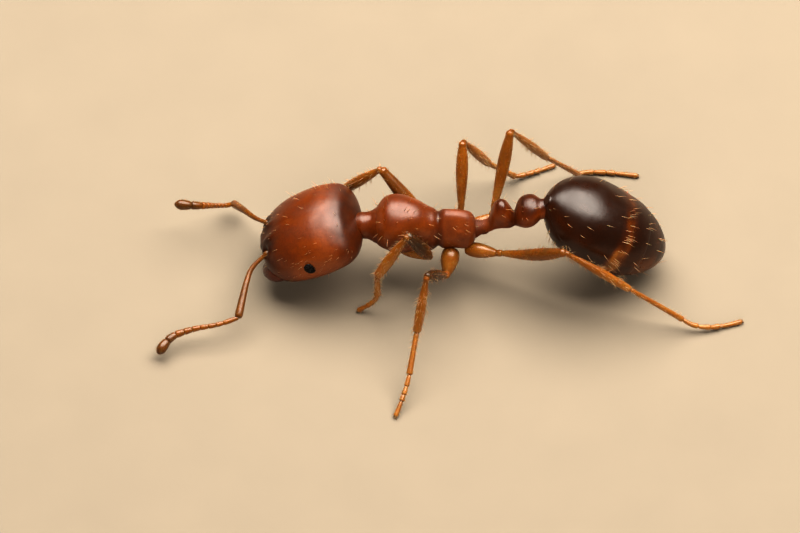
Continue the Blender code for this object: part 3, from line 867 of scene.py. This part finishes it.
def make_plate(index):
    front = -GASTER_LENGTH[0] if index == 0 else PLATE_MARGINS[index - 1] - PLATE_OVERLAP
    rear = PLATE_MARGINS[index]
    slimmer = PLATE_STEP if index else 0.0
    count = PLATE_RINGS if index else FIRST_PLATE_RINGS
    stations = []
    for step in range(count + 1):
        share = step / count
        if index == 0:
            share = (1 - math.cos(math.pi * share)) / 2
        y = front + (rear - front) * share
        girth = egg_girth(y) * (PLATE_FIT - slimmer * (1 - smooth(front, rear, y)))
        stations.append((y, girth))
    if index < len(PLATE_MARGINS) - 1:
        for behind, inward in LIP:
            stations.append((rear + behind, girth - LIP_THICKNESS * inward))
    else:
        stations[-1] = (rear, CLOSED_GIRTH)
    half_width, half_height = GASTER_WIDEST
    rings = []
    for y, girth in stations:
        rings.append((y, GASTER_RISE * max(y, 0) ** 2, half_width * girth, half_height * girth))
    bm = shell_mesh()
    shade = bm.verts.layers.float["shade"]
    skinned(bm, PLATE_SIDES, [rounded(ring, ELLIPSE) for ring in rings])
    bm.normal_update()
    seam_height, seam_width, seam_cut = SIDE_SEAM
    mean, swing, scale = AMBER_PATCHES
    for vert in bm.verts:
        co = vert.co.copy()
        height = co.z / max(half_height * egg_girth(co.y), 0.01)
        seam = seam_cut * math.exp(-(((height - seam_height) / seam_width) ** 2))
        amber = graded(REAR_AMBER[index], co.y - rear)
        if index == 1:
            amber += graded(SECOND_FRONT_AMBER, co.y - front)
        amber *= (mean + swing * noise.noise(co * scale)) * (HIGH_AMBER + graded(LOW_AMBER, height))
        pale = amber + index * graded(LOW_PALENESS, height) + graded(UNDER_PALENESS, height)
        vert[shade] = min(max(1 - pale, 0.0), 1.0)
        vert.co = co + vert.normal * (unevenness(co, 2.2) - seam)
    bmesh.ops.transform(bm, matrix=GASTER_FRAME, verts=bm.verts)
    return settled(bm, f"gaster_plate_{index + 1}", gaster_cuticle, [f"gaster_{index + 1}"])


gaster_plates = [make_plate(index) for index in range(len(PLATE_MARGINS))]

# --- Legs ---------------------------------------------------------------------------
# Each leg has a pear-shaped coxa with a small trochanter, a spindle-shaped femur, a tibia
# with a spur at its end, and a tarsus of five joints that ends in two claws. The cuticle is
# amber. The left fore and mid thighs are darkest, partly their own colour and partly painted
# shade, and the right mid and hind thighs are paler with painted light shining through them.

SOLE_HEIGHT = 0.03
# Each pair: the coxa's root, the lengths of thigh, shin, heel and toes, and factors on the
# girths of coxa, thigh and shin.
PAIRS = {
    "fore": ((0.18, -0.36, 0.7), (1.06, 0.86, 0.43, 0.47), (0.62, 1.3, 1.2)),
    "mid": ((0.18, 0.4, 0.64), (1.15, 0.89, 0.64, 0.66), (0.84, 1.07, 1.08)),
    "hind": ((0.17, 0.62, 0.64), (1.35, 1.19, 1.0, 0.9), (0.68, 1.1, 0.98)),
}
# Each leg: the hip, then (swing back from straight out, lift) of each segment in degrees, and
# the swing of the toes.
STANCE = {
    "fore_left": ((0.3, 0.09, 0.59), (-45, 63), (-66, -55), (-1, -88), -89),
    "fore_right": ((0.36, 0.02, 0.61), (-56, 41), (-78, -48), (-82, -48), -82),
    "mid_left": ((0.54, 0.33, 0.49), (-23, 48), (-18, -57), (-11, -27), -20),
    "mid_right": ((0.52, 0.54, 0.5), (2, 48), (63, -60), (71, -49), 66),
    "hind_left": ((0.33, 1.08, 0.73), (60, 33), (80, -34), (83, -37), 96),
    "hind_right": ((0.33, 1.0, 0.78), (20, 54), (61, -58), (56, -54), 91),
}
TROCHANTER = (0.03, 0.04, 0.11)  # before the hip along the coxa, and past it along the thigh
THIGH_START = 0.09
COXA_GIRTHS = ((0.0, 0.11), (0.12, 0.15), (0.4, 0.165), (0.75, 0.12), (0.95, 0.075), (1.0, 0.05))
TROCHANTER_GIRTHS = ((0.0, 0.04), (0.2, 0.07), (0.6, 0.075), (0.9, 0.055), (1.0, 0.035))
FEMUR_GIRTHS = (
    (0.0, 0.03), (0.05, 0.043), (0.2, 0.056), (0.42, 0.077), (0.62, 0.086), (0.8, 0.075),
    (0.92, 0.057), (0.97, 0.056), (1.0, 0.035),
)
FORE_FEMUR_GIRTHS = (
    (0.0, 0.04), (0.06, 0.065), (0.22, 0.085), (0.42, 0.088), (0.7, 0.072), (0.9, 0.056),
    (0.97, 0.055), (1.0, 0.035),
)
TIBIA_GIRTHS = (
    (0.0, 0.03), (0.04, 0.045), (0.1, 0.036), (0.3, 0.054), (0.6, 0.069), (0.85, 0.062),
    (0.97, 0.055), (1.0, 0.03),
)
HEEL_GIRTHS = ((0.0, 0.02), (0.05, 0.035), (0.3, 0.036), (0.8, 0.04), (0.97, 0.044), (1.0, 0.026))
TOE_BEADS = ((0.27, 0.038), (0.2, 0.039), (0.15, 0.041), (0.38, 0.037))
TOE_GIRTHS = ((0.0, 0.5), (0.15, 0.78), (0.8, 1.0), (0.96, 0.95), (1.0, 0.6))
CLAW_GIRTHS = ((0.0, 0.012), (0.5, 0.009), (1.0, 0.002))
PAD_GIRTHS = ((0.0, 0.012), (0.5, 0.014), (1.0, 0.006))
SPUR_GIRTHS = ((0.0, 0.012), (0.6, 0.01), (1.0, 0.003))
SPUR_LENGTH = {"fore": 0.16, "mid": 0.1, "hind": 0.11}
# paler thighs of the right mid and hind legs: painted light shining through them
BACKLIT_GLOW_THIGH = (0.0, 0.1, 0.25, 0.3, 0.3)
PLAIN_THIGH = (0.1, 0.3, 0.5, 0.55, 0.4)
# darkest thighs of the left fore and mid legs: partly their own colour, partly painted shade
DUSKY_AND_SHADED_THIGH = (0.3, 0.6, 0.85, 0.95, 0.8)
THIGH_SHADES = {
    "fore_left": DUSKY_AND_SHADED_THIGH,
    "fore_right": PLAIN_THIGH,
    "mid_left": DUSKY_AND_SHADED_THIGH,
    "mid_right": BACKLIT_GLOW_THIGH,
    "hind_left": PLAIN_THIGH,
    "hind_right": BACKLIT_GLOW_THIGH,
}
FORE_THIGH_FLATNESS = 0.85  # a fore thigh is broader than deep
HIND_SAG = Vector((0, 0, -0.04))  # how far the middle of a hind thigh hangs
FOOT_BEND = {"hind_left": 0.12}  # how far the middle of a foot bends out to the left
FOOT_BEND_HEIGHT = 0.045  # the least


def heading(swing, lift, side):
    """A unit vector from its swing back from straight out and its lift, in degrees."""
    swing, lift = math.radians(swing), math.radians(lift)
    level = math.cos(lift)
    return Vector((side * level * math.cos(swing), level * math.sin(swing), math.sin(lift)))


def joints_of(leg, pair, side):
    """Hip, knee, ankle, end of the basitarsus and tip of the foot."""
    hip, *segments, last_swing = STANCE[leg]
    lengths = PAIRS[pair][1]
    points = [mirrored(hip, side)]
    for (swing, lift), length in zip(segments, lengths):
        points.append(points[-1] + heading(swing, lift, side) * length)
    drop = math.degrees(math.asin((SOLE_HEIGHT - points[-1].z) / lengths[-1]))
    points.append(points[-1] + heading(last_swing, drop, side) * lengths[-1])
    return points


def girthed(girths, factor):
    return [(share, radius * factor) for share, radius in girths]


def bowed(start, stop, bow):
    """A path from start to stop that is pushed aside in the middle."""
    return (start, start.lerp(stop, 0.35) + bow, start.lerp(stop, 0.7) + bow * 0.8, stop)


def make_claws(bm, tip, ahead):
    """Two hooked claws with a small pad between them."""
    across = ahead.cross(UP).normalized()
    for turn in (-1, 1):
        root = tip - ahead * 0.015
        bend = root + (ahead + across * turn * 0.8).normalized() * 0.03 + UP * 0.008
        point = bend + (ahead * 0.5 + across * turn * 0.4 - UP).normalized() * 0.026
        limb(bm, (root, bend, point), CLAW_GIRTHS, 8, shades=(0.7, 1.0), steps=3)
    pad = (tip - ahead * 0.01, tip + ahead * 0.012, tip + ahead * 0.022)
    limb(bm, pad, PAD_GIRTHS, 8, shades=(0.35, 0.35), steps=2)


def make_leg(leg, pair, side):
    coxa_girth, thigh_girth, shin_girth = PAIRS[pair][2]
    hip, knee, ankle, heel, tip = joints_of(leg, pair, side)
    root = mirrored(PAIRS[pair][0], side)
    parts = []

    bm = shell_mesh()
    limb(bm, (root, root.lerp(hip, 0.5), hip), girthed(COXA_GIRTHS, coxa_girth), 28, shades=(0.38, 0.2))
    thigh_way = (knee - hip).normalized()
    before, after, end = TROCHANTER
    trochanter = (hip - (hip - root).normalized() * before, hip + thigh_way * after, hip + thigh_way * end)
    limb(bm, trochanter, girthed(TROCHANTER_GIRTHS, coxa_girth), 20, shades=(0.5, 0.2))
    parts.append(limb_part(bm, f"{leg}_hip_joints", f"{leg}_coxa", root, hip))

    bm = shell_mesh()
    start = hip + thigh_way * THIGH_START
    sagging = bowed(start, knee, HIND_SAG if pair == "hind" else Vector())
    thigh = girthed(FORE_FEMUR_GIRTHS if pair == "fore" else FEMUR_GIRTHS, thigh_girth)
    flatness = FORE_THIGH_FLATNESS if pair == "fore" else 1.0
    limb(bm, sagging, thigh, 22, flatness, shades=THIGH_SHADES[leg], dusk=0.2)
    parts.append(limb_part(bm, f"{leg}_thigh", f"{leg}_femur", start, knee))

    bm = shell_mesh()
    shin = girthed(TIBIA_GIRTHS, shin_girth)
    limb(bm, bowed(knee, ankle, UP * 0.005), shin, 20, shades=(0.42, 0.24, 0.2, 0.1), dusk=0.15)
    shin_way = (ankle - knee).normalized()
    inward = Vector((-side * 0.3, 0, -1)).cross(shin_way).cross(shin_way) * -1
    spur_root = ankle - shin_way * 0.02
    spur_tip = spur_root + (shin_way + inward.normalized() * 0.5).normalized() * SPUR_LENGTH[pair]
    limb(bm, bowed(spur_root, spur_tip, inward * 0.01), SPUR_GIRTHS, 8, shades=(0.2, 0.0), steps=3)
    parts.append(limb_part(bm, f"{leg}_shin", f"{leg}_tibia", knee, ankle))

    bm = shell_mesh()
    limb(bm, bowed(ankle, heel, UP * 0.004), girthed(HEEL_GIRTHS, shin_girth), 16, shades=(0.25, 0.2))
    parts.append(limb_part(bm, f"{leg}_heel", f"{leg}_basitarsus", ankle, heel))

    bm = shell_mesh()
    onward = (heel - ankle).normalized()
    bend = heel + onward * (tip - heel).length * 0.35
    bend.z = max(bend.z, FOOT_BEND_HEIGHT)
    bend.x += FOOT_BEND.get(leg, 0.0)
    shares = (0.0, 0.2, 0.4, 0.6, 0.8, 1.0)
    course = [heel * (1 - t) ** 2 + bend * 2 * t * (1 - t) + tip * t**2 for t in shares]
    track = measured(course)
    begin = 0.0
    for share, radius in TOE_BEADS:
        end = min(begin + share, 1.0)
        limb(bm, stretch(track, begin, end), girthed(TOE_GIRTHS, radius), 12, shades=(0.15, 0.15), steps=3)
        begin = end
    make_claws(bm, tip, (tip - course[-2]).normalized())
    for vert in bm.verts:
        vert.co.z = max(vert.co.z, 0.0)  # the sole's flat
    parts.append(limb_part(bm, f"{leg}_toes", f"{leg}_tarsus", heel, tip))
    return parts


leg_parts = {}
for pair in PAIRS:
    for name, side in SIDES.items():
        leg = f"{pair}_{name}"
        leg_parts[leg] = make_leg(leg, pair, side)

# --- Hairs --------------------------------------------------------------------------
# Fine pale bristles stand on head, trunk, waist and gaster, and shorter ones lie along the
# legs and feelers towards their tips. Each is a thin, bent, tapering spine of its own.

BRISTLE_SLIMNESS = 0.032  # radius of the root as a share of the length
BRISTLE_BEND = 0.16
BRISTLE_CUTS = (0.3, 0.65)
BRISTLE_TIP = 0.12  # its radius as a share of the root's
ROOT_DEPTH = 0.004
JITTER = 0.18  # of the way it leans
LOWEST_HAIR = 0.003
PATCH = 0.003  # of a hair on its coat's map
HEAD_AXIS = (HEAD_FRAME @ Vector((0, 0.78, 0)), HEAD_FRAME @ Vector((0, -0.76, 0)))
GASTER_AXIS = (GASTER_FRAME @ Vector((0, -0.6, 0)), GASTER_FRAME @ Vector((0, 1.35, 0)))


def hair_finish(name, darker, paler):
    """Translucent chitin in soft streaks of two colours."""
    made, shader, tree = finish_named(name)
    streaks = mottling(tree, 9000.0, 2.0)
    tree.links.new(mixed(tree, streaks, (*darker, 1.0), (*paler, 1.0)), shader.inputs["Base Color"])
    tree.links.new(ranged(tree, streaks, 0.3, 0.5), shader.inputs["Roughness"])
    shader.inputs["Subsurface Weight"].default_value = 0.3
    shader.inputs["Subsurface Scale"].default_value = 0.02 * MM
    return made


pale_hair = hair_finish("pale_hair", (0.31, 0.17, 0.065), (0.45, 0.31, 0.18))
tawny_hair = hair_finish("tawny_hair", (0.18, 0.086, 0.029), (0.31, 0.19, 0.075))


def bristle_mesh():
    """One bristle of length 1 along +Z that bends towards +X."""
    bm = bmesh.new()
    lift = Matrix.Translation((0, 0, 0.5))
    radii = {"radius1": BRISTLE_SLIMNESS, "radius2": BRISTLE_SLIMNESS * BRISTLE_TIP}
    bmesh.ops.create_cone(bm, cap_ends=True, segments=3, **radii, depth=1.0, matrix=lift)
    for height in BRISTLE_CUTS:
        everything = bm.verts[:] + bm.edges[:] + bm.faces[:]
        bmesh.ops.bisect_plane(bm, geom=everything, dist=1e-5, plane_co=(0, 0, height), plane_no=(0, 0, 1))
    for vert in bm.verts:
        stout = 1 + 0.35 * math.sin(math.pi * vert.co.z)
        vert.co.x = vert.co.x * stout + BRISTLE_BEND * vert.co.z**2
        vert.co.y *= stout
    bmesh.ops.recalc_face_normals(bm, faces=bm.faces)
    return meshed(bm, "bristle")


bristle = bristle_mesh()


def roots_on(piece, count, rng, wanted):
    """Random points on a piece's skin, thicker where wanted, with the outward direction there."""
    mesh = piece.data
    middles = [(Vector(face.center) / MM + SPREAD_MIDDLE) for face in mesh.polygons]
    weights = [face.area * wanted(middle, face.normal) for face, middle in zip(mesh.polygons, middles)]
    roots = []
    for face in rng.choices(mesh.polygons, weights, k=count):
        corners = [mesh.vertices[index].co for index in face.vertices]
        shares = [rng.random() for _ in corners]
        total = sum(shares)
        point = sum((corner * share for corner, share in zip(corners, shares)), Vector()) / total
        roots.append((point / MM + SPREAD_MIDDLE, face.normal.copy()))
    return roots


def unwrapped(point, axis):
    """Where a point lies on a piece's skin, slit along its underside and laid flat."""
    start, stop = axis
    line = (stop - start).normalized()
    up = (UP - line * line.z) if abs(line.z) < 0.95 else Vector((1, 0, 0))
    up.normalize()
    arm = point - start
    turn = math.atan2(arm.dot(line.cross(up)), arm.dot(up)) / (2 * math.pi) + 0.5
    return turn, min(max(arm.dot(line) / (stop - start).length, 0.0), 1.0)


def grow(bm, root, outward, flow, lean, length, patch):
    """Adds one bristle that leans from the outward direction towards the flow."""
    side = flow - outward * flow.dot(outward)
    if side.length < 0.05:
        side = outward.orthogonal()
    side.normalize()
    ahead = outward * math.cos(lean) + side * math.sin(lean)
    bend = (side - ahead * side.dot(ahead)).normalized()
    across = ahead.cross(bend)
    turn = Matrix((bend, across, ahead)).transposed() * length
    before_verts, before_faces = len(bm.verts), len(bm.faces)
    bm.from_mesh(bristle)
    bm.verts.ensure_lookup_table()
    bm.faces.ensure_lookup_table()
    layer = bm.loops.layers.uv["OFBake"]
    spots = {}
    for vert in bm.verts[before_verts:]:
        spots[vert] = (0.5 + vert.co.y / BRISTLE_SLIMNESS / 3, vert.co.z)
        vert.co = root - outward * ROOT_DEPTH + turn @ vert.co
        vert.co.z = max(vert.co.z, LOWEST_HAIR)
    for face in bm.faces[before_faces:]:
        for loop in face.loops:
            across_patch, up_patch = spots[loop.vert]
            loop[layer].uv = (patch[0] + PATCH * across_patch, patch[1] + PATCH * up_patch)


def anywhere(point, outward):
    return 1.0


def coat(name, finish, seed, beds):
    """One joined coat. Each bed is (piece, its axis, hair count, lengths, leans, where)."""
    rng = random.Random(seed)
    bm = bmesh.new()
    bm.loops.layers.uv.new("OFBake")
    for index, (piece, axis, count, lengths, leans, wanted) in enumerate(beds):
        way = (axis[1] - axis[0]).normalized()
        for root, outward in roots_on(piece, count, rng, wanted):
            jitter = Vector([rng.gauss(0, 1) for _ in range(3)]) * JITTER
            turn, share = unwrapped(root, axis)
            patch = ((index + 0.02 + 0.94 * turn) / len(beds), 0.005 + 0.985 * share)
            length = rng.uniform(*lengths)
            lean = math.radians(rng.uniform(*leans))
            grow(bm, root, outward, way + jitter, lean, length, patch)
    bmesh.ops.translate(bm, verts=bm.verts, vec=-SPREAD_MIDDLE)
    bmesh.ops.scale(bm, verts=bm.verts, vec=(MM, MM, MM))
    piece = placed(name, meshed(bm, name))
    piece.data.shade_smooth()
    piece.data.materials.append(finish)
    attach(piece, "root")


def off_the_eyes(point, outward):
    """Everywhere on the head but the eyes and the hinge with the neck."""
    local = HEAD_FRAME.inverted() @ point
    eye = (Vector((abs(local.x), local.y, local.z)) - EYE_CENTRE).length
    return 0.0 if eye < 0.13 or local.y > 0.7 else 1.0


def cheek_side(point, outward):
    """As above, and denser low on the cheeks and at the front."""
    local = HEAD_FRAME.inverted() @ point
    return off_the_eyes(point, outward) * (0.3 + 1.4 * smooth(0.3, 0.65, abs(local.x)))


def top_side(point, outward):
    return max(outward.z + 0.35, 0.05)


def near_margins(point, outward):
    """Denser in a row before each plate's rear edge."""
    local = GASTER_FRAME.inverted() @ point
    row = max(math.exp(-(((local.y - margin + 0.09) / 0.035) ** 2)) for margin in PLATE_MARGINS[:3])
    low = smooth(-0.1, -0.3, local.z) * smooth(0.0, 0.3, local.x)
    return 0.06 + 2.2 * row + 0.7 * low


coat(
    "head_hairs",
    pale_hair,
    11,
    [
        (head, HEAD_AXIS, 170, (0.05, 0.08), (45, 65), cheek_side),
        (head, HEAD_AXIS, 30, (0.08, 0.14), (10, 30), off_the_eyes),
    ],
)
TRUNK_AXIS = (Vector((0, -0.76, 0.95)), Vector((0, 0.76, 0.95)))
PETIOLE_AXIS = (Vector((0, 0.72, 1.1)), Vector((0, 1.36, 1.1)))
POSTPETIOLE_AXIS = (Vector((0, 1.3, 1.35)), Vector((0, 1.92, 1.35)))
coat(
    "trunk_hairs",
    pale_hair,
    12,
    [
        (trunk, TRUNK_AXIS, 42, (0.1, 0.17), (0, 20), top_side),
        (trunk, TRUNK_AXIS, 60, (0.04, 0.07), (40, 60), anywhere),
        (petiole, PETIOLE_AXIS, 14, (0.09, 0.15), (5, 30), top_side),
        (postpetiole, POSTPETIOLE_AXIS, 18, (0.09, 0.15), (5, 30), top_side),
    ],
)
PLATE_HAIRS = (230, 90, 70, 50)
beds = []
for plate, count in zip(gaster_plates, PLATE_HAIRS):
    beds.append((plate, GASTER_AXIS, count, (0.09, 0.16), (35, 60), near_margins))
coat("gaster_hairs", pale_hair, 13, beds)
FEELER_HAIRS = (90, 150, 150)
for seed, (name, parts) in enumerate(feeler_parts.items(), 14):
    beds = []
    for (piece, start, stop), count in zip(parts, FEELER_HAIRS):
        beds.append((piece, (start, stop), count, (0.03, 0.05), (40, 60), anywhere))
    coat(f"feeler_hairs_{name}", tawny_hair, seed, beds)
LEG_HAIRS = (30, 100, 130, 90, 110)
LEG_HAIR_LENGTHS = ((0.05, 0.09), (0.05, 0.09), (0.06, 0.1), (0.05, 0.08), (0.04, 0.065))
for seed, (leg, parts) in enumerate(leg_parts.items(), 20):
    beds = []
    for (piece, start, stop), count, lengths in zip(parts, LEG_HAIRS, LEG_HAIR_LENGTHS):
        beds.append((piece, (start, stop), count, lengths, (25, 45), anywhere))
    coat(f"leg_hairs_{leg}", pale_hair, seed, beds)
